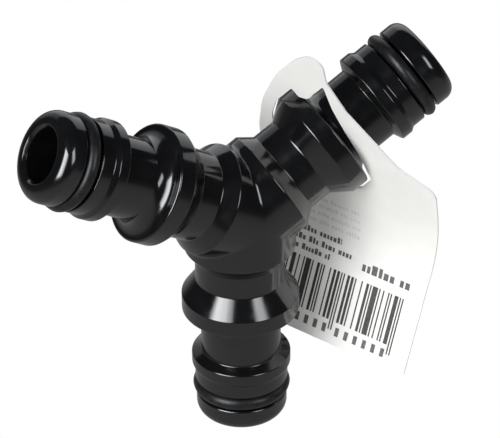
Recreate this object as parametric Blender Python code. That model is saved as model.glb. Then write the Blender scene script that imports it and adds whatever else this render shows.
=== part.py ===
"""Three-way garden hose splitter: one moulded body, three O-rings and a film hang tag.

Units are metres, +Z up. The splitter stands on the nose of its lower arm. The arms lie in the
XZ plane, 120 degrees apart, and the tag hangs on the neck of the right arm.
"""

import math

import bmesh
import bpy
from mathutils import Euler, Matrix, Vector

MM = 0.001

# Turned profile of one arm: distance along the arm from the hub's centre, and radius.
HUB_RADIUS = 9.74 * MM
HUB_LENGTH = 7.25 * MM
STEM_START = 9.61 * MM
STEM_RADIUS = 7.86 * MM
STEM_END = 13.74 * MM
FLANGE_START = 17.12 * MM
FLANGE_RADIUS = 10.3 * MM
FLANGE_END = 20.25 * MM
NECK_START = 22.7 * MM
NECK_RADIUS = 7.02 * MM
NECK_END = 28.69 * MM
RIDGE_START = 29.52 * MM
RIDGE_RADIUS = 8.71 * MM
RIDGE_END = 31.43 * MM
BARREL_START = 32.23 * MM
BARREL_RADIUS = 8.17 * MM
GROOVE_START = 34.7 * MM
GROOVE_END = 37.7 * MM
GROOVE_RADIUS = 5.85 * MM
NOSE_RADIUS = 8.0 * MM
NOSE_ROUND = 2.2 * MM
NOSE_END = 42.0 * MM
MOUTH_RADIUS = 5.2 * MM
MOUTH_ROUND = 0.5 * MM
BORE_RADIUS = 4.7 * MM

ARM_SEGMENTS = 32
ARC_STEPS = 4

# O-rings
RING_SECTION = 1.2 * MM
RING_RADIUS = 7.37 * MM
RING_PLACE = (GROOVE_START + GROOVE_END) / 2
RING_SEGMENTS = 32
RING_SECTION_SEGMENTS = 10

# Hang tag: a flat film blank, bent once about a line across it.
# Blank coordinates are x across the tag and t down it, both from the hole's pivot point.
TAG_PLACE = 17.6 * MM
TAG_HEADING = math.radians(-61.8)
TAG_CANT = math.radians(2.75)
TAG_HEAD_LEAN = math.radians(18.5)
TAG_LABEL_LEAN = math.radians(-20.3)
TAG_BEND_START = 10.0 * MM
TAG_BEND_LENGTH = 18.0 * MM
TAG_THICKNESS = 0.4 * MM
TAG_STRIPS = 8
# Corners of the blank's outline and of its hole, in mm, with the radius that rounds each one.
TAG_CORNERS = (
    (-11.4, 41.1, 2.0),
    (-12.9, 2.0, 14.0),
    (-10.6, -6.4, 20.0),
    (-6.3, -14.6, 22.0),
    (-1.0, -21.0, 14.0),
    (4.8, -25.2, 2.2),
    (4.8, -17.8, 3.0),
    (7.9, -11.9, 4.0),
    (17.0, -2.3, 4.0),
    (24.2, 0.5, 2.5),
    (23.7, 7.0, 20.0),
    (21.4, 25.0, 30.0),
    (21.25, 41.1, 0.6),
)
TAG_HOLE_CORNERS = (
    (3.9, -16.8, 0.4),
    (5.1, -11.2, 12.0),
    (6.9, -6.6, 10.0),
    (9.1, -1.9, 10.0),
    (10.85, 4.2, 1.4),
    (8.3, 7.6, 5.0),
    (4.6, 10.2, 6.0),
    (-1.4, 10.0, 8.0),
    (-6.9, 6.9, 8.0),
    (-9.35, 2.9, 8.0),
    (-9.45, -3.0, 8.0),
    (-7.6, -7.8, 8.0),
    (-3.4, -12.9, 0.4),
    (-2.0, -11.4, 0.6),
    (-0.1, -11.5, 2.0),
)

# Where the hub's centre stands, so that the origin is under the middle of the whole part.
HUB_PLACE = Vector((0.0, 3.7 * MM, NOSE_END))
ARMS = {
    "lower": Vector((0.0, 0.0, -1.0)),
    "left": Vector((-math.cos(math.radians(30)), 0.0, math.sin(math.radians(30)))),
    "right": Vector((math.cos(math.radians(30)), 0.0, math.sin(math.radians(30)))),
}
ACROSS = Vector((0.0, 1.0, 0.0))

PLASTIC_COLOUR = (0.02, 0.02, 0.022, 1.0)
RUBBER_COLOUR = (0.03, 0.03, 0.03, 1.0)
FILM_COLOUR = (0.85, 0.86, 0.85, 1.0)


def clear_scene():
    for thing in list(bpy.data.objects):
        bpy.data.objects.remove(thing, do_unlink=True)


def make_material(name, colour, roughness):
    material = bpy.data.materials.new(name)
    material.use_nodes = True
    shader = material.node_tree.nodes["Principled BSDF"]
    shader.inputs["Base Color"].default_value = colour
    shader.inputs["Roughness"].default_value = roughness
    shader.inputs["Metallic"].default_value = 0.0
    return material


def add_object(name, mesh, material):
    thing = bpy.data.objects.new(name, mesh)
    bpy.context.collection.objects.link(thing)
    mesh.materials.append(material)
    return thing


def arc(centre, radius, start_deg, end_deg, steps=ARC_STEPS):
    """Points of a circular arc, as (along, radius) pairs."""
    points = []
    for step in range(steps + 1):
        angle = math.radians(start_deg + (end_deg - start_deg) * step / steps)
        points.append((centre[0] + radius * math.cos(angle), centre[1] + radius * math.sin(angle)))
    return points


def arm_profile():
    """Outer skin from hub to nose, then back down the bore."""
    profile = [
        (HUB_LENGTH, HUB_RADIUS),
        (STEM_START, STEM_RADIUS),
        (STEM_END, STEM_RADIUS),
        (FLANGE_START, FLANGE_RADIUS),
        (FLANGE_END, FLANGE_RADIUS),
    ]
    flare = NECK_START - FLANGE_END
    drop = FLANGE_RADIUS - NECK_RADIUS
    for step in (0.33, 0.66):
        profile.append((FLANGE_END + flare * step**2, FLANGE_RADIUS - drop * step * (2 - step) * 0.95))
    profile += [
        (NECK_START, NECK_RADIUS),
        (NECK_END, NECK_RADIUS),
        (RIDGE_START, RIDGE_RADIUS),
        (RIDGE_END, RIDGE_RADIUS),
        (BARREL_START, BARREL_RADIUS),
        (GROOVE_START, BARREL_RADIUS),
        (GROOVE_START, GROOVE_RADIUS),
        (GROOVE_END, GROOVE_RADIUS),
    ]
    profile += [(GROOVE_END, NOSE_RADIUS)]
    nose_centre = (NOSE_END - NOSE_ROUND, NOSE_RADIUS - NOSE_ROUND)
    profile += arc(nose_centre, NOSE_ROUND, 90, 0)
    lip_centre = (NOSE_END - MOUTH_ROUND, MOUTH_RADIUS)
    profile += arc(lip_centre, MOUTH_ROUND, 0, -90, 2)
    return profile


def mitre(radius, angle):
    """How far along an arm its tube meets the planes between it and the other two."""
    return radius * abs(math.sin(angle)) / math.tan(math.radians(60))


def arm_ring(mesh, direction, radius, along=None):
    """One ring of vertices about an arm; with no distance given, it lies on the mitre planes."""
    side = direction.cross(ACROSS)
    ring = []
    for segment in range(ARM_SEGMENTS):
        angle = 2 * math.pi * segment / ARM_SEGMENTS
        distance = mitre(radius, angle) if along is None else along
        outward = ACROSS * math.cos(angle) + side * math.sin(angle)
        ring.append(mesh.verts.new(direction * distance + outward * radius))
    return ring


def bridge(mesh, first, second):
    count = len(first)
    for index in range(count):
        after = (index + 1) % count
        mesh.faces.new((first[index], first[after], second[after], second[index]))


def build_body(material):
    """Three turned arms whose skins and bores meet on mitre planes at the hub."""
    mesh = bmesh.new()
    for direction in ARMS.values():
        rings = [arm_ring(mesh, direction, HUB_RADIUS)]
        for along, radius in arm_profile():
            rings.append(arm_ring(mesh, direction, radius, along))
        rings.append(arm_ring(mesh, direction, BORE_RADIUS))
        for first, second in zip(rings, rings[1:]):
            bridge(mesh, first, second)
    bmesh.ops.remove_doubles(mesh, verts=mesh.verts, dist=0.001 * MM)
    bmesh.ops.recalc_face_normals(mesh, faces=mesh.faces)
    data = bpy.data.meshes.new("manifold_body")
    mesh.to_mesh(data)
    mesh.free()
    data.shade_smooth()
    data.set_sharp_from_angle(angle=math.radians(28))
    body = add_object("manifold_body", data, material)
    body.location = HUB_PLACE


def build_o_ring(arm, direction, material):
    bpy.ops.mesh.primitive_torus_add(
        major_segments=RING_SEGMENTS,
        minor_segments=RING_SECTION_SEGMENTS,
        major_radius=RING_RADIUS,
        minor_radius=RING_SECTION,
    )
    ring = bpy.context.object
    ring.name = "o_ring_" + arm
    ring.data.materials.append(material)
    ring.data.shade_smooth()
    side = direction.cross(ACROSS)
    ring.matrix_world = Matrix.Translation(HUB_PLACE + direction * RING_PLACE) @ Matrix(
        (side, direction.cross(side), direction)
    ).transposed().to_4x4()


def rounded_corner(before, corner, after, steps=3):
    """Points of the arc that rounds one corner of an outline."""
    point = Vector(corner[:2])
    to_before = (Vector(before[:2]) - point).normalized()
    to_after = (Vector(after[:2]) - point).normalized()
    half = to_before.angle(to_after) / 2
    reach = corner[2] / math.tan(half)
    centre = point + (to_before + to_after).normalized() * corner[2] / math.sin(half)
    start = point + to_before * reach - centre
    sweep = start.angle_signed(point + to_after * reach - centre)
    points = []
    for step in range(steps + 1):
        angle = -sweep * step / steps
        turned = Matrix.Rotation(angle, 2) @ start
        points.append((centre + turned) * MM)
    return points


def rounded_loop(corners):
    """A closed outline with every corner rounded."""
    points = []
    count = len(corners)
    for index, corner in enumerate(corners):
        points += rounded_corner(corners[index - 1], corner, corners[(index + 1) % count])
    return points


def bend(distance):
    """Sideways place, drop and outward direction at a distance down the bent blank."""
    turn = TAG_LABEL_LEAN - TAG_HEAD_LEAN
    bow = TAG_BEND_LENGTH / turn
    before = min(distance, TAG_BEND_START)
    side = before * math.sin(TAG_HEAD_LEAN)
    drop = before * math.cos(TAG_HEAD_LEAN)
    inside = min(max(distance - TAG_BEND_START, 0.0), TAG_BEND_LENGTH)
    lean = TAG_HEAD_LEAN + inside / bow
    side += bow * (math.cos(TAG_HEAD_LEAN) - math.cos(lean))
    drop += bow * (math.sin(lean) - math.sin(TAG_HEAD_LEAN))
    beyond = max(distance - TAG_BEND_START - TAG_BEND_LENGTH, 0.0)
    side += beyond * math.sin(lean)
    drop += beyond * math.cos(lean)
    return side, drop, Vector((0.0, math.cos(lean), math.sin(lean)))


def add_loop(mesh, points):
    verts = [mesh.verts.new((point[0], 0.0, point[1])) for point in points]
    edges = []
    for index, vert in enumerate(verts):
        edges.append(mesh.edges.new((vert, verts[(index + 1) % len(verts)])))
    return edges


def build_tag(material):
    """Fill the blank, cut it into strips where it bends, bend it and give it its thickness."""
    mesh = bmesh.new()
    edges = add_loop(mesh, rounded_loop(TAG_CORNERS)) + add_loop(mesh, rounded_loop(TAG_HOLE_CORNERS))
    bmesh.ops.triangle_fill(mesh, edges=edges, use_beauty=True, use_dissolve=False, normal=(0, 1, 0))
    for strip in range(TAG_STRIPS + 1):
        cut = TAG_BEND_START + TAG_BEND_LENGTH * strip / TAG_STRIPS
        bmesh.ops.bisect_plane(
            mesh,
            geom=mesh.verts[:] + mesh.edges[:] + mesh.faces[:],
            dist=0.0001 * MM,
            plane_co=(0.0, 0.0, cut),
            plane_no=(0.0, 0.0, 1.0),
        )
    bmesh.ops.triangulate(mesh, faces=mesh.faces)
    skin = {}
    for vert in mesh.verts:
        side, drop, outward = bend(vert.co.z)
        skin[vert] = (Vector((vert.co.x, side, -drop)), outward * TAG_THICKNESS / 2)
    thick_sheet(mesh, skin)
    data = bpy.data.meshes.new("hang_tag")
    mesh.to_mesh(data)
    mesh.free()
    tag = add_object("hang_tag", data, material)
    tag.location = HUB_PLACE + ARMS["right"] * TAG_PLACE
    tag.rotation_euler = Euler((0.0, TAG_CANT, TAG_HEADING))


def thick_sheet(mesh, skin):
    """Turn an open sheet into a closed one: two offset skins joined along every open edge."""
    faces = mesh.faces[:]
    rim = [edge for edge in mesh.edges if edge.is_boundary]
    back = {}
    for vert, (middle, offset) in skin.items():
        vert.co = middle + offset
        back[vert] = mesh.verts.new(middle - offset)
    for face in faces:
        mesh.faces.new([back[vert] for vert in reversed(face.verts)])
    for edge in rim:
        first, second = edge.verts
        mesh.faces.new((first, second, back[second], back[first]))
    bmesh.ops.recalc_face_normals(mesh, faces=mesh.faces)


def main():
    clear_scene()
    plastic = make_material("black_plastic", PLASTIC_COLOUR, 0.2)
    rubber = make_material("o_ring_rubber", RUBBER_COLOUR, 0.6)
    film = make_material("tag_film", FILM_COLOUR, 0.4)
    build_body(plastic)
    for arm, direction in ARMS.items():
        build_o_ring(arm, direction, rubber)
    build_tag(film)


main()
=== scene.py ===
"""Looks of the three-way hose splitter: fine moulded body, O-rings, printed film tag, studio."""

import math
import random

import bmesh
import bpy
from mathutils import Euler, Matrix, Vector


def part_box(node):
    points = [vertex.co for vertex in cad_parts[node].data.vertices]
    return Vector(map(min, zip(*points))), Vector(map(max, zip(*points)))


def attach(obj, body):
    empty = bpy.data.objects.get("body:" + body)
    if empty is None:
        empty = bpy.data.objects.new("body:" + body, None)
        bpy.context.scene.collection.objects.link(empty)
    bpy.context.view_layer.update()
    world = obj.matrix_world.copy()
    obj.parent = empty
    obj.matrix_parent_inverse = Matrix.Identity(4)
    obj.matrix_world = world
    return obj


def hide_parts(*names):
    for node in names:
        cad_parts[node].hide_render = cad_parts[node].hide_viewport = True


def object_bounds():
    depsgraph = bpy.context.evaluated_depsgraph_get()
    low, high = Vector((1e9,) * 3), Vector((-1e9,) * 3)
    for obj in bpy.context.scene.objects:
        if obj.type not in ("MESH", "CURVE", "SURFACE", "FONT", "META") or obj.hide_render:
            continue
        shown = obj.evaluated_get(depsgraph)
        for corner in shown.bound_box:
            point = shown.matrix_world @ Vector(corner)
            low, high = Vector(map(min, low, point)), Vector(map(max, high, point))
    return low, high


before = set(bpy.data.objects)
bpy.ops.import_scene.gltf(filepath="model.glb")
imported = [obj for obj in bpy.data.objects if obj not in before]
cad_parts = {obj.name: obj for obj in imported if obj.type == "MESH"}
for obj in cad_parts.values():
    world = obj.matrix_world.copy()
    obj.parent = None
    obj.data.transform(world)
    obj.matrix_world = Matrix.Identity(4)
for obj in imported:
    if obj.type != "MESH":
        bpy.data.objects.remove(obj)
cad_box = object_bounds()

MM = 0.001

# The hub's centre: the middle of the body, one arm's length above its lower nose.
ARM_LENGTH = 42.0 * MM
BODY_LOW, BODY_HIGH = (Vector(corner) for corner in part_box("manifold_body"))
HUB = Vector(((BODY_LOW.x + BODY_HIGH.x) / 2, (BODY_LOW.y + BODY_HIGH.y) / 2, BODY_LOW.z + ARM_LENGTH))
ACROSS = Vector((0.0, 1.0, 0.0))
ARMS = {
    "lower": Vector((0.0, 0.0, -1.0)),
    "left": Vector((-math.cos(math.radians(30)), 0.0, math.sin(math.radians(30)))),
    "right": Vector((math.cos(math.radians(30)), 0.0, math.sin(math.radians(30)))),
}

# Profile of an arm, as corners: millimetres along the arm, radius, and the corner's rounding.
HUB_RADIUS = 9.74
OUTER_CORNERS = (
    (7.25, 9.74, 0.45),
    (9.61, 7.86, 0.5),
    (13.74, 7.86, 0.6),
    (17.12, 10.3, 0.35),
    (20.3, 10.3, 0.4),
    (20.3, 9.7, 0.15),
)
FLARE_CENTRE = (22.9, 9.62)
FLARE_RADIUS = 2.6
LATCH_CORNERS = (
    (28.69, 7.02, 0.25),
    (29.52, 8.71, 0.3),
    (31.43, 8.71, 0.4),
    (32.23, 8.17, 0.5),
    (34.7, 8.17, 0.2),
    (34.7, 5.85, 0.15),
    (37.7, 5.85, 0.15),
    (37.7, 8.0, 0.35),
)
NOSE_CORNER = (42.0, 8.0, 2.2)
MOUTH_CORNERS = (
    (42.0, 5.15, 0.25),
    (41.4, 4.7, 0.2),
)
BORE_RADIUS = 4.7
CORNER_STEPS = 5
NOSE_STEPS = 14
FLARE_STEPS = 10
ARM_SEGMENTS = 128

# Rounded crotch between two arms: its width in mm, its rings, and the terms of its slope.
MITRE_ANGLE = math.radians(60)
SEAM_WIDTH = 0.5
SEAM_STEPS = 5
SEAM_LEAN = 0.5
SEAM_SIDE = 0.866
SEAM_CROWN = 0.2885
BODY_WELD = 0.0005 * MM

# O-rings: place along the arm, radius of the ring and of its section, and height of its mould line.
RING_PLACE = 36.2 * MM
RING_RADIUS = 7.37 * MM
RING_SECTION = 1.2 * MM
RING_FLASH = 0.035 * MM
RING_AROUND = 144
RING_ABOUT = 32

# The tag's blank, in millimetres: x across and distance down, from the pivot point on the arm's axis.
TAG_PLACE = 17.6 * MM
TAG_HEADING = math.radians(-61.8)
TAG_CANT = math.radians(2.75)
HEAD_LEAN = math.radians(18.5)
LABEL_LEAN = math.radians(-20.3)
BEND_START = 10.0
BEND_LENGTH = 18.0
FILM_THICKNESS = 0.3
# Corners of the blank's outline and of its hole, in mm, with the radius that rounds each one.
TAG_CORNERS = (
    (-11.4, 41.1, 2.0),
    (-12.9, 2.0, 14.0),
    (-10.6, -6.4, 20.0),
    (-6.3, -14.6, 22.0),
    (-1.0, -21.0, 14.0),
    (4.8, -25.2, 2.2),
    (4.8, -17.8, 3.0),
    (7.9, -11.9, 4.0),
    (17.0, -2.3, 4.0),
    (24.2, 0.5, 2.5),
    (23.7, 7.0, 20.0),
    (21.4, 25.0, 30.0),
    (21.25, 41.1, 0.6),
)
TAG_HOLE_CORNERS = (
    (3.9, -16.8, 0.4),
    (4.95, -11.2, 12.0),
    (6.7, -6.6, 10.0),
    (8.82, -1.9, 10.0),
    (10.48, 4.1, 1.2),
    (8.0, 7.3, 5.0),
    (4.5, 9.95, 6.0),
    (-1.4, 9.75, 8.0),
    (-6.75, 6.7, 8.0),
    (-9.15, 2.85, 8.0),
    (-9.25, -2.95, 8.0),
    (-7.4, -7.55, 8.0),
    (-3.4, -12.75, 0.4),
    (-2.0, -11.1, 0.6),
    (-0.1, -11.35, 2.0),
)
# Slices that let the flat blank bend, in mm: first, last and pitch.
DOWN_CUTS = (-20.0, 40.0, 1.0)
ACROSS_CUTS = (-10.0, 22.0, 2.0)
CUT_SNAP = 0.001
CUT_WELD = 0.01
LOOP_STEPS = 10

# Print, in mm on the blank. The bar block is laid out like a retail barcode but isn't a valid one:
# both halves' cells are gap, bar, gap, bar. Each cell is seven modules wide.
PRINT_LIFT = 0.03
PRINT_STEP = 1.0
BAR_MODULE = 0.27
BAR_LEFT = -8.0
BAR_TOP = 27.8
BAR_BOTTOM = 36.9
GUARD_BOTTOM = 38.6
BAR_CELLS = ((1, 1, 2, 3), (2, 1, 3, 1), (1, 4, 1, 1), (3, 2, 1, 1), (1, 1, 4, 1), (2, 2, 1, 2))
# Plain blocks below the bars: where each group starts, and their count, pitch and edges.
BLOCK_STARTS = (-6.4, 6.0)
BLOCKS_PER_GROUP = 6
BLOCK_PITCH = 1.93
BLOCK_WIDTH = 0.8
BLOCK_TOP = 37.8
BLOCK_BOTTOM = 39.4
# Greeked lines: start, end, baseline, height and the seed of their dice.
SMALL_LINES = (
    (-9.5, 3.3, 22.9, 1.15, 3),
    (-9.5, 6.5, 24.85, 1.15, 5),
    (-9.5, 1.4, 26.65, 1.1, 9),
    (8.2, 18.2, 26.0, 1.8, 12),
)
FAINT_LINES = tuple((-5.0, 6.8, 15.4 + row * 1.7, 0.9, 20 + row) for row in range(4))
# Shapes in a greeked line, as shares of its height, and the number of blocks in a word.
LETTER_WIDTHS = (0.3, 0.62)
LETTER_HEIGHTS = (0.72, 0.72, 0.72, 1.0)
LETTER_GAP = 0.2
WORD_GAP = 0.5
WORD_LENGTHS = (3, 7)

# Colours: the darker and the lighter patches of each material.
PLASTIC_COLOURS = ((0.0024, 0.0024, 0.0026), (0.0038, 0.0038, 0.0042))
RUBBER_COLOURS = ((0.0045, 0.0045, 0.005), (0.009, 0.009, 0.0095))
FILM_COLOURS = ((0.71, 0.695, 0.665), (0.76, 0.745, 0.71))
# The cut edge's colours are darker than the film's. This is painted shade that draws the film's thin
# dark outline.
EDGE_SHADE_COLOURS = ((0.56, 0.56, 0.55), (0.66, 0.66, 0.65))
INK_COLOURS = ((0.022, 0.02, 0.018), (0.05, 0.045, 0.04))
FADED_COLOURS = ((0.5, 0.5, 0.49), (0.6, 0.6, 0.59))
SMALL_INK_COLOURS = ((0.06, 0.056, 0.052), (0.11, 0.105, 0.1))

# Floor: how bright gloss sees it, near and far, and how much more light matt surfaces get.
POOL_RADII = (0.03, 0.5)
POOL_RADIANCE = (0.36, 0.06)
POOL_FILL = 0.58
FLOOR_HALF = 4.0
FLOOR_GAP = 0.2 * MM

# Room: its tint, what gloss reflects, and how much more light matt surfaces get.
ROOM_TINT = (0.9, 0.95, 1.0, 1.0)
ROOM_GLOSS = 0.03
ROOM_FILL = 0.68

# Soft boxes: azimuth and elevation in degrees, distance, width and height in metres, radiance, and
# stops, each a place across the box (0 to 1) and its relative brightness there.
BOX_TINT = (0.96, 0.98, 1.0, 1.0)
SOFT_BOXES = {
    "left_window": (
        -115, 29, 0.9, (0.66, 0.72), 12.0,
        ((0.0, 0.2), (0.25, 1.0), (0.6, 0.8), (0.85, 0.4), (1.0, 0.1)),
    ),
    "front_window": (
        163, 32, 0.9, (0.38, 0.52), 6.0,
        ((0.0, 0.2), (0.3, 1.0), (0.7, 0.9), (1.0, 0.2)),
    ),
    "back_sweep": (
        20, 18, 1.3, (2.6, 0.95), 0.8,
        ((0.0, 0.8), (0.3, 1.1), (0.55, 1.2), (0.75, 0.5), (1.0, 0.15)),
    ),
}

# Camera: the direction that it stands in, its roll, distance and lens, and the point it looks at.
CAMERA_AZIMUTH = math.radians(-25.64)
CAMERA_ELEVATION = math.radians(32.81)
CAMERA_ROLL = math.radians(-0.68)
CAMERA_DISTANCE = 603.0 * MM
CAMERA_LENS = 252.3
CAMERA_SENSOR = 36.0
CAMERA_CLIP = 0.01
CAMERA_AIM = HUB + Vector((1.18, -1.77, -1.64)) * MM


# ---------------------------------------------------------------- materials

def new_material(name, colour, roughness):
    material = bpy.data.materials.new(name)
    material.use_nodes = True
    shader = material.node_tree.nodes["Principled BSDF"]
    shader.inputs["Base Color"].default_value = (*colour, 1.0)
    shader.inputs["Roughness"].default_value = roughness
    return material


def add_noise(material, scale, detail=4.0):
    nodes = material.node_tree.nodes
    place = nodes.new("ShaderNodeTexCoord")
    noise = nodes.new("ShaderNodeTexNoise")
    noise.inputs["Scale"].default_value = scale
    noise.inputs["Detail"].default_value = detail
    material.node_tree.links.new(place.outputs["Object"], noise.inputs["Vector"])
    return noise.outputs["Fac"]


def vary_roughness(material, scale, low, high):
    spread = material.node_tree.nodes.new("ShaderNodeMapRange")
    spread.inputs["From Min"].default_value = 0.3
    spread.inputs["From Max"].default_value = 0.7
    spread.inputs["To Min"].default_value = low
    spread.inputs["To Max"].default_value = high
    links = material.node_tree.links
    links.new(add_noise(material, scale), spread.inputs["Value"])
    shader = material.node_tree.nodes["Principled BSDF"]
    links.new(spread.outputs["Result"], shader.inputs["Roughness"])


def vary_colour(material, scale, dark, light):
    ramp = material.node_tree.nodes.new("ShaderNodeValToRGB")
    ramp.color_ramp.elements[0].position = 0.35
    ramp.color_ramp.elements[0].color = (*dark, 1.0)
    ramp.color_ramp.elements[1].position = 0.65
    ramp.color_ramp.elements[1].color = (*light, 1.0)
    links = material.node_tree.links
    links.new(add_noise(material, scale), ramp.inputs["Fac"])
    shader = material.node_tree.nodes["Principled BSDF"]
    links.new(ramp.outputs["Color"], shader.inputs["Base Color"])


def add_bump(material, scale, strength, distance, detail=4.0):
    bump = material.node_tree.nodes.new("ShaderNodeBump")
    bump.inputs["Strength"].default_value = strength
    bump.inputs["Distance"].default_value = distance
    links = material.node_tree.links
    links.new(add_noise(material, scale, detail), bump.inputs["Height"])
    shader = material.node_tree.nodes["Principled BSDF"]
    links.new(bump.outputs["Normal"], shader.inputs["Normal"])


def plastic_material():
    """Gloss black moulding: a polished skin with a faint ripple and slight gloss changes."""
    material = new_material("black_plastic_gloss", (0.003, 0.003, 0.0033), 0.1)
    shader = material.node_tree.nodes["Principled BSDF"]
    shader.inputs["IOR"].default_value = 1.58
    shader.inputs["Specular IOR Level"].default_value = 0.65
    vary_colour(material, 260.0, *PLASTIC_COLOURS)
    vary_roughness(material, 420.0, low=0.09, high=0.17)
    add_bump(material, 330.0, strength=0.08, distance=0.05 * MM, detail=2.0)
    return material


def rubber_material():
    """Black nitrile: duller than the body, with a fine grain and a pale bloom."""
    material = new_material("o_ring_black_rubber", (0.006, 0.006, 0.0065), 0.4)
    material.node_tree.nodes["Principled BSDF"].inputs["Specular IOR Level"].default_value = 0.3
    vary_colour(material, 900.0, *RUBBER_COLOURS)
    vary_roughness(material, 1500.0, low=0.3, high=0.4)
    add_bump(material, 2600.0, strength=0.25, distance=0.02 * MM)
    return material


def film_material(name, dark, light):
    """Milky film: slightly see-through, with cloudy patches and a soft sheen."""
    material = new_material(name, light, 0.35)
    shader = material.node_tree.nodes["Principled BSDF"]
    shader.inputs["Transmission Weight"].default_value = 0.18
    shader.inputs["IOR"].default_value = 1.45
    vary_colour(material, 130.0, dark, light)
    vary_roughness(material, 300.0, low=0.3, high=0.44)
    add_bump(material, 160.0, strength=0.12, distance=0.1 * MM, detail=2.0)
    return material


def ink_material(name, dark, light):
    """Thermal print, slightly uneven."""
    material = new_material(name, dark, 0.5)
    vary_colour(material, 2200.0, dark, light)
    vary_roughness(material, 900.0, low=0.45, high=0.6)
    return material


# ---------------------------------------------------------------- shapes

def rounded_corner(before, corner, after, steps):
    """Points of the arc that rounds one corner of an outline."""
    point = Vector(corner[:2])
    to_before = (Vector(before[:2]) - point).normalized()
    to_after = (Vector(after[:2]) - point).normalized()
    half = to_before.angle(to_after) / 2
    reach = corner[2] / math.tan(half)
    centre = point + (to_before + to_after).normalized() * corner[2] / math.sin(half)
    start = point + to_before * reach - centre
    sweep = start.angle_signed(point + to_after * reach - centre)
    points = []
    for step in range(steps + 1):
        points.append(centre + Matrix.Rotation(-sweep * step / steps, 2) @ start)
    return points


def rounded_run(before, corners, after, steps=CORNER_STEPS):
    """An open outline through rounded corners, from one plain point to another."""
    chain = [before, *corners, after]
    points = []
    for index in range(1, len(chain) - 1):
        points += rounded_corner(chain[index - 1], chain[index], chain[index + 1], steps)
    return points


def flare_curve():
    """The hollow trumpet face between the flange and the latch neck."""
    points = []
    for step in range(FLARE_STEPS + 1):
        angle = math.radians(180 + 90 * step / FLARE_STEPS)
        along = FLARE_CENTRE[0] + FLARE_RADIUS * math.cos(angle)
        points.append(Vector((along, FLARE_CENTRE[1] + FLARE_RADIUS * math.sin(angle))))
    return points


def arm_profile():
    """Outer skin from the hub to the nose, then back down to the bore."""
    flare = flare_curve()
    profile = rounded_run((0.0, HUB_RADIUS), OUTER_CORNERS, flare[0])
    profile += flare
    profile += rounded_run(flare[-1], LATCH_CORNERS, NOSE_CORNER)
    profile += rounded_run(LATCH_CORNERS[-1], [NOSE_CORNER], MOUTH_CORNERS[0], NOSE_STEPS)
    profile += rounded_run(NOSE_CORNER, MOUTH_CORNERS, (0.0, BORE_RADIUS))
    return profile


def arm_ring(mesh, direction, radius_at, along_at):
    """One ring of vertices about an arm, with radius and distance as functions of the angle."""
    side = direction.cross(ACROSS)
    ring = []
    for segment in range(ARM_SEGMENTS):
        angle = 2 * math.pi * segment / ARM_SEGMENTS
        outward = ACROSS * math.cos(angle) + side * math.sin(angle)
        radius = radius_at(angle)
        ring.append(mesh.verts.new((direction * along_at(angle, radius) + outward * radius) * MM))
    return ring


def mitre(angle, radius):
    """How far along an arm its tube meets the planes between it and the other two."""
    return radius * abs(math.sin(angle)) / math.tan(MITRE_ANGLE)


def seam_slope(angle):
    """Slope that makes the skin cross the mitre plane squarely, so that the crotch is rounded."""
    return SEAM_LEAN * abs(math.sin(angle)) / (SEAM_SIDE + SEAM_CROWN * math.cos(angle) ** 2)


def seam_rings(mesh, direction):
    """Rings from the mitre plane outwards that round the crotch off."""
    rings = []
    for step in range(SEAM_STEPS + 1):
        past = SEAM_WIDTH * step / SEAM_STEPS

        def radius_at(angle, past=past):
            return HUB_RADIUS + seam_slope(angle) * (SEAM_WIDTH - past) ** 2 / (2 * SEAM_WIDTH)

        def along_at(angle, radius, past=past):
            root = HUB_RADIUS + seam_slope(angle) * SEAM_WIDTH / 2
            return mitre(angle, root) + past

        rings.append(arm_ring(mesh, direction, radius_at, along_at))
    return rings


def bridge(mesh, first, second):
    """Faces between two closed rings of vertices."""
    count = len(first)
    for index in range(count):
        after = (index + 1) % count
        mesh.faces.new((first[index], first[after], second[after], second[index]))


def finish_mesh(mesh, name, materials, sharp_deg):
    data = bpy.data.meshes.new(name)
    mesh.to_mesh(data)
    mesh.free()
    for material in materials:
        data.materials.append(material)
    data.shade_smooth()
    data.set_sharp_from_angle(angle=math.radians(sharp_deg))
    thing = bpy.data.objects.new(name, data)
    bpy.context.collection.objects.link(thing)
    return thing


def weight_normals(thing):
    """Keep broad faces evenly shaded right up to their small rounded edges."""
    modifier = thing.modifiers.new("face weights", "WEIGHTED_NORMAL")
    modifier.mode = "FACE_AREA"
    modifier.keep_sharp = True


def build_body(plastic):
    """The one-piece moulding: each arm is turned about its axis as far as the mitre planes."""
    mesh = bmesh.new()
    profile = arm_profile()
    for direction in ARMS.values():
        rings = seam_rings(mesh, direction)
        for point in profile:
            along, radius = point
            rings.append(
                arm_ring(
                    mesh,
                    direction,
                    lambda angle, radius=radius: radius,
                    lambda angle, at_radius, along=along: along,
                )
            )
        rings.append(arm_ring(mesh, direction, lambda angle: BORE_RADIUS, mitre))
        for first, second in zip(rings, rings[1:]):
            bridge(mesh, first, second)
    bmesh.ops.remove_doubles(mesh, verts=mesh.verts, dist=BODY_WELD)
    bmesh.ops.recalc_face_normals(mesh, faces=mesh.faces)
    body = finish_mesh(mesh, "moulded_body", [plastic], sharp_deg=40)
    body.data.transform(Matrix.Translation(HUB))
    weight_normals(body)
    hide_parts("manifold_body")
    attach(body, "splitter")


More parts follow.
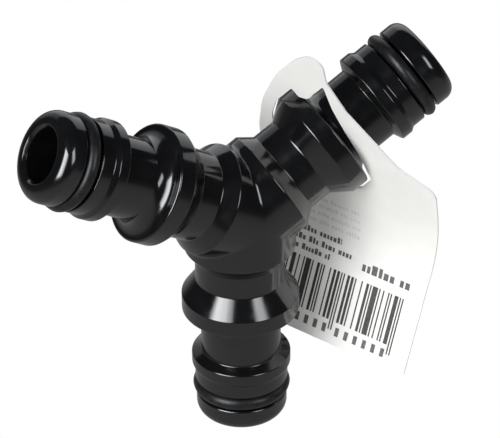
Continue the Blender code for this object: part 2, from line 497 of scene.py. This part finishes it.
def build_o_ring(arm, direction, rubber):
    """A ring of round section with a fine mould flash line round its outside."""
    mesh = bmesh.new()
    rings = []
    for step in range(RING_AROUND):
        turn = 2 * math.pi * step / RING_AROUND
        outward = Vector((math.cos(turn), math.sin(turn), 0.0))
        ring = []
        for point in range(RING_ABOUT):
            angle = 2 * math.pi * point / RING_ABOUT
            section = RING_SECTION + (RING_FLASH if point == 0 else 0.0)
            reach = RING_RADIUS - RING_FLASH + section * math.cos(angle)
            rise = Vector((0.0, 0.0, section * math.sin(angle)))
            ring.append(mesh.verts.new(outward * reach + rise))
        rings.append(ring)
    for index, ring in enumerate(rings):
        bridge(mesh, ring, rings[(index + 1) % RING_AROUND])
    bmesh.ops.recalc_face_normals(mesh, faces=mesh.faces)
    seal = finish_mesh(mesh, "seal_" + arm, [rubber], sharp_deg=60)
    side = direction.cross(ACROSS)
    turned = Matrix((side, direction.cross(side), direction)).transposed().to_4x4()
    seal.data.transform(Matrix.Translation(HUB + direction * RING_PLACE) @ turned)
    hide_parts("o_ring_" + arm)
    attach(seal, "splitter")


# ---------------------------------------------------------------- hang tag

def bend(distance):
    """Sideways place, drop and outward direction at a distance down the bent blank, in mm."""
    bow = BEND_LENGTH / (LABEL_LEAN - HEAD_LEAN)
    before = min(distance, BEND_START)
    inside = min(max(distance - BEND_START, 0.0), BEND_LENGTH)
    beyond = max(distance - BEND_START - BEND_LENGTH, 0.0)
    lean = HEAD_LEAN + inside / bow
    side = before * math.sin(HEAD_LEAN) + bow * (math.cos(HEAD_LEAN) - math.cos(lean))
    drop = before * math.cos(HEAD_LEAN) + bow * (math.sin(lean) - math.sin(HEAD_LEAN))
    side += beyond * math.sin(lean)
    drop += beyond * math.cos(lean)
    return side, drop, Vector((0.0, math.cos(lean), math.sin(lean)))


def on_sheet(x, distance, lift=0.0):
    """A point of the blank in the tag's own axes, lifted off its middle along its outward side."""
    side, drop, outward = bend(distance)
    return (Vector((x, side, -drop)) + outward * lift) * MM


def rounded_loop(corners):
    """A closed outline with every corner rounded."""
    points = []
    count = len(corners)
    for index, corner in enumerate(corners):
        after = corners[(index + 1) % count]
        points += rounded_corner(corners[index - 1], corner, after, LOOP_STEPS)
    return points


def add_loop(mesh, points):
    """Closed chain of edges on the flat blank, which lies in the XZ plane with z down it."""
    verts = [mesh.verts.new((point[0], 0.0, point[1])) for point in points]
    edges = []
    for index, vert in enumerate(verts):
        edges.append(mesh.edges.new((vert, verts[(index + 1) % len(verts)])))
    return edges


def cut_across(mesh, normal, first, last, pitch):
    """Slice the blank with parallel planes, so that it can bend."""
    place = first
    while place <= last:
        bmesh.ops.bisect_plane(
            mesh,
            geom=mesh.verts[:] + mesh.edges[:] + mesh.faces[:],
            dist=CUT_SNAP,
            plane_co=normal * place,
            plane_no=normal,
        )
        place += pitch


def close_sheet(mesh):
    """Turn the flat open blank into a bent closed sheet; its cut edge gets the second material, a
    darker grey that is painted shade.
    """
    faces = mesh.faces[:]
    rim = [edge for edge in mesh.edges if edge.is_boundary]
    back = {}
    for vert in mesh.verts[:]:
        x, distance = vert.co.x, vert.co.z
        vert.co = on_sheet(x, distance, FILM_THICKNESS / 2)
        back[vert] = mesh.verts.new(on_sheet(x, distance, -FILM_THICKNESS / 2))
    for face in faces:
        mesh.faces.new([back[vert] for vert in reversed(face.verts)])
    for edge in rim:
        first, second = edge.verts
        face = mesh.faces.new((first, second, back[second], back[first]))
        face.material_index = 1
    bmesh.ops.recalc_face_normals(mesh, faces=mesh.faces)


def place_on_tag(thing):
    """Stand a piece made in the tag's own axes in its place on the arm."""
    turned = Euler((0.0, TAG_CANT, TAG_HEADING)).to_matrix().to_4x4()
    thing.data.transform(Matrix.Translation(HUB + ARMS["right"] * TAG_PLACE) @ turned)
    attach(thing, "tag")


def build_film(film, edge):
    """The tag's film: a flat blank with a hole, bent once."""
    mesh = bmesh.new()
    edges = add_loop(mesh, rounded_loop(TAG_CORNERS))
    edges += add_loop(mesh, rounded_loop(TAG_HOLE_CORNERS))
    bmesh.ops.triangle_fill(mesh, edges=edges, use_beauty=True, use_dissolve=False, normal=(0, 1, 0))
    cut_across(mesh, Vector((0.0, 0.0, 1.0)), *DOWN_CUTS)
    cut_across(mesh, Vector((1.0, 0.0, 0.0)), *ACROSS_CUTS)
    bmesh.ops.remove_doubles(mesh, verts=mesh.verts, dist=CUT_WELD)
    close_sheet(mesh)
    tag = finish_mesh(mesh, "film_tag", [film, edge], sharp_deg=40)
    place_on_tag(tag)
    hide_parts("hang_tag")


def printed_block(mesh, left, right, top, bottom, face_lift):
    """A rectangle of ink on one face of the film, cut into short steps so that it follows the bend."""
    count = max(1, math.ceil((bottom - top) / PRINT_STEP))
    rows = []
    for step in range(count + 1):
        distance = top + (bottom - top) * step / count
        rows.append([mesh.verts.new(on_sheet(x, distance, face_lift)) for x in (left, right)])
    for upper, lower in zip(rows, rows[1:]):
        mesh.faces.new((upper[0], upper[1], lower[1], lower[0]))


def greeked_line(mesh, start, end, baseline, height, seed, lift):
    """A run of small blocks in word-like groups: it reads as text from afar and says nothing."""
    dice = random.Random(seed)
    place = start
    left_in_word = dice.randint(*WORD_LENGTHS)
    while place < end:
        width = height * dice.uniform(*LETTER_WIDTHS)
        tall = height * dice.choice(LETTER_HEIGHTS)
        printed_block(mesh, place, min(place + width, end), baseline - tall, baseline, lift)
        place += width + height * LETTER_GAP
        left_in_word -= 1
        if left_in_word == 0:
            place += height * WORD_GAP
            left_in_word = dice.randint(*WORD_LENGTHS)


def guard_bars(mesh, place, lift):
    """Two long bars; returns the place after them."""
    for offset in (0, 2):
        left = place + offset * BAR_MODULE
        printed_block(mesh, left, left + BAR_MODULE, BAR_TOP, GUARD_BOTTOM, lift)
    return place + 3 * BAR_MODULE


def bar_half(mesh, place, cells, lift):
    """The bars of one run of cells; returns the place after them."""
    for gap_one, bar_one, gap_two, bar_two in cells:
        for gap, bar in ((gap_one, bar_one), (gap_two, bar_two)):
            left = place + gap * BAR_MODULE
            printed_block(mesh, left, left + bar * BAR_MODULE, BAR_TOP, BAR_BOTTOM, lift)
            place = left + bar * BAR_MODULE
    return place


def bar_pattern(mesh, lift):
    """Two mirrored runs of cells between guard bars."""
    place = guard_bars(mesh, BAR_LEFT, lift)
    place = bar_half(mesh, place, BAR_CELLS, lift)
    place = guard_bars(mesh, place + BAR_MODULE, lift)
    place = bar_half(mesh, place, BAR_CELLS[::-1], lift)
    guard_bars(mesh, place + BAR_MODULE, lift)


def under_bar_blocks(mesh, lift):
    """A row of small plain blocks below the bars, where numbers would be."""
    for start in BLOCK_STARTS:
        for index in range(BLOCKS_PER_GROUP):
            left = start + index * BLOCK_PITCH
            printed_block(mesh, left, left + BLOCK_WIDTH, BLOCK_TOP, BLOCK_BOTTOM, lift)


def finish_print(mesh, name, ink):
    piece = finish_mesh(mesh, name, [ink], sharp_deg=30)
    place_on_tag(piece)


def build_print(ink, small_ink, faded):
    """Bars, greeked lines and the faint print behind, all on the film's front face."""
    lift = -(FILM_THICKNESS / 2 + PRINT_LIFT)
    bars = bmesh.new()
    bar_pattern(bars, lift)
    finish_print(bars, "tag_bars", ink)
    lines = bmesh.new()
    under_bar_blocks(lines, lift)
    for line in SMALL_LINES:
        greeked_line(lines, *line, lift)
    finish_print(lines, "tag_greeked_lines", small_ink)
    show_through = bmesh.new()
    for line in FAINT_LINES:
        greeked_line(show_through, *line, lift)
    finish_print(show_through, "tag_faint_print", faded)


# ---------------------------------------------------------------- studio

def point_at(place, target):
    return (target - place).to_track_quat("-Z", "Y")


def bearing(azimuth_deg, elevation_deg):
    """Unit direction: azimuth from +Y towards +X, elevation above the horizon."""
    azimuth, elevation = math.radians(azimuth_deg), math.radians(elevation_deg)
    level = math.cos(elevation)
    return Vector((math.sin(azimuth) * level, math.cos(azimuth) * level, math.sin(elevation)))


def soft_box(name, azimuth_deg, elevation_deg, distance, size, radiance, stops):
    """A lit rectangle facing the hub; stops give place across it and relative brightness."""
    width, height = size
    light = bpy.data.lights.new(name, "AREA")
    light.shape = "RECTANGLE"
    light.size = width
    light.size_y = height
    light.energy = math.pi * width * height * radiance
    light.use_nodes = True
    nodes, links = light.node_tree.nodes, light.node_tree.links
    place = nodes.new("ShaderNodeNewGeometry")
    split = nodes.new("ShaderNodeSeparateXYZ")
    ramp = nodes.new("ShaderNodeValToRGB")
    ramp.color_ramp.interpolation = "EASE"
    ramp.color_ramp.elements.remove(ramp.color_ramp.elements[1])
    ramp.color_ramp.elements[0].position = stops[0][0]
    for across, _ in stops[1:]:
        ramp.color_ramp.elements.new(across)
    for element, (_, level) in zip(ramp.color_ramp.elements, stops):
        element.color = (level, level, level, 1.0)
    links.new(place.outputs["Parametric"], split.inputs[0])
    links.new(split.outputs["X"], ramp.inputs["Fac"])
    emission = nodes["Emission"]
    emission.inputs["Color"].default_value = BOX_TINT
    links.new(ramp.outputs["Color"], emission.inputs["Strength"])
    box = bpy.data.objects.new(name, light)
    box.location = HUB + bearing(azimuth_deg, elevation_deg) * distance
    box.rotation_euler = point_at(box.location, HUB).to_euler()
    box.visible_camera = False
    bpy.context.collection.objects.link(box)


def build_lights():
    for name, settings in SOFT_BOXES.items():
        soft_box(name, *settings)


def build_world():
    """White for the camera, a dim room for everything that the object reflects."""
    world = bpy.data.worlds.new("studio")
    world.use_nodes = True
    nodes, links = world.node_tree.nodes, world.node_tree.links
    room = nodes["Background"]
    room.inputs["Color"].default_value = ROOM_TINT
    white = nodes.new("ShaderNodeBackground")
    white.inputs["Color"].default_value = (1.0, 1.0, 1.0, 1.0)
    fill = nodes.new("ShaderNodeMath")
    fill.operation = "MULTIPLY_ADD"
    fill.inputs[1].default_value = ROOM_FILL
    fill.inputs[2].default_value = ROOM_GLOSS
    path = nodes.new("ShaderNodeLightPath")
    mix = nodes.new("ShaderNodeMixShader")
    links.new(path.outputs["Is Diffuse Ray"], fill.inputs[0])
    links.new(fill.outputs[0], room.inputs["Strength"])
    links.new(path.outputs["Is Camera Ray"], mix.inputs[0])
    links.new(room.outputs[0], mix.inputs[1])
    links.new(white.outputs[0], mix.inputs[2])
    links.new(mix.outputs[0], nodes["World Output"].inputs["Surface"])
    bpy.context.scene.world = world


def floor_material():
    """Pure white to the camera; to the object, a pool of light that fades with distance."""
    pale = bpy.data.materials.new("pale_floor")
    pale.use_nodes = True
    nodes, links = pale.node_tree.nodes, pale.node_tree.links
    nodes.remove(nodes["Principled BSDF"])
    place = nodes.new("ShaderNodeTexCoord")
    reach = nodes.new("ShaderNodeVectorMath")
    reach.operation = "LENGTH"
    pool = nodes.new("ShaderNodeMapRange")
    pool.interpolation_type = "SMOOTHSTEP"
    pool.inputs["From Min"].default_value = POOL_RADII[0]
    pool.inputs["From Max"].default_value = POOL_RADII[1]
    pool.inputs["To Min"].default_value = POOL_RADIANCE[0]
    pool.inputs["To Max"].default_value = POOL_RADIANCE[1]
    fill = nodes.new("ShaderNodeMath")
    fill.operation = "MULTIPLY_ADD"
    fill.inputs[1].default_value = POOL_FILL
    dim = nodes.new("ShaderNodeEmission")
    white = nodes.new("ShaderNodeEmission")
    path = nodes.new("ShaderNodeLightPath")
    mix = nodes.new("ShaderNodeMixShader")
    links.new(place.outputs["Object"], reach.inputs[0])
    links.new(reach.outputs["Value"], pool.inputs["Value"])
    links.new(path.outputs["Is Diffuse Ray"], fill.inputs[0])
    links.new(pool.outputs["Result"], fill.inputs[2])
    links.new(fill.outputs[0], dim.inputs["Strength"])
    links.new(path.outputs["Is Camera Ray"], mix.inputs[0])
    links.new(dim.outputs[0], mix.inputs[1])
    links.new(white.outputs[0], mix.inputs[2])
    links.new(mix.outputs[0], nodes["Material Output"].inputs["Surface"])
    return pale


def build_floor():
    mesh = bmesh.new()
    bmesh.ops.create_grid(mesh, x_segments=8, y_segments=8, size=FLOOR_HALF)
    floor = finish_mesh(mesh, "floor", [floor_material()], sharp_deg=30)
    floor.location.z = cad_box[0][2] - FLOOR_GAP


def build_camera():
    data = bpy.data.cameras.new("camera")
    data.lens = CAMERA_LENS
    data.sensor_width = CAMERA_SENSOR
    data.clip_start = CAMERA_CLIP
    camera = bpy.data.objects.new("camera", data)
    level = math.cos(CAMERA_ELEVATION)
    towards_viewer = Vector((
        math.sin(CAMERA_AZIMUTH) * level,
        -math.cos(CAMERA_AZIMUTH) * level,
        math.sin(CAMERA_ELEVATION),
    ))
    camera.location = CAMERA_AIM + towards_viewer * CAMERA_DISTANCE
    roll = Matrix.Rotation(CAMERA_ROLL, 3, "Z")
    camera.rotation_euler = (point_at(camera.location, CAMERA_AIM).to_matrix() @ roll).to_euler()
    bpy.context.collection.objects.link(camera)
    bpy.context.scene.camera = camera


def main():
    build_camera()
    build_world()
    build_lights()
    build_floor()
    plastic = plastic_material()
    rubber = rubber_material()
    build_body(plastic)
    for arm, direction in ARMS.items():
        build_o_ring(arm, direction, rubber)
    film = film_material("milky_film", *FILM_COLOURS)
    # The cut edge is painted darker grey as shade.
    edge = film_material("film_cut_edge_painted_shade", *EDGE_SHADE_COLOURS)
    build_film(film, edge)
    ink = ink_material("print_ink", *INK_COLOURS)
    faded = ink_material("print_show_through", *FADED_COLOURS)
    small_ink = ink_material("small_print_ink", *SMALL_INK_COLOURS)
    build_print(ink, small_ink, faded)
    bpy.context.scene.view_settings.view_transform = "Standard"


main()
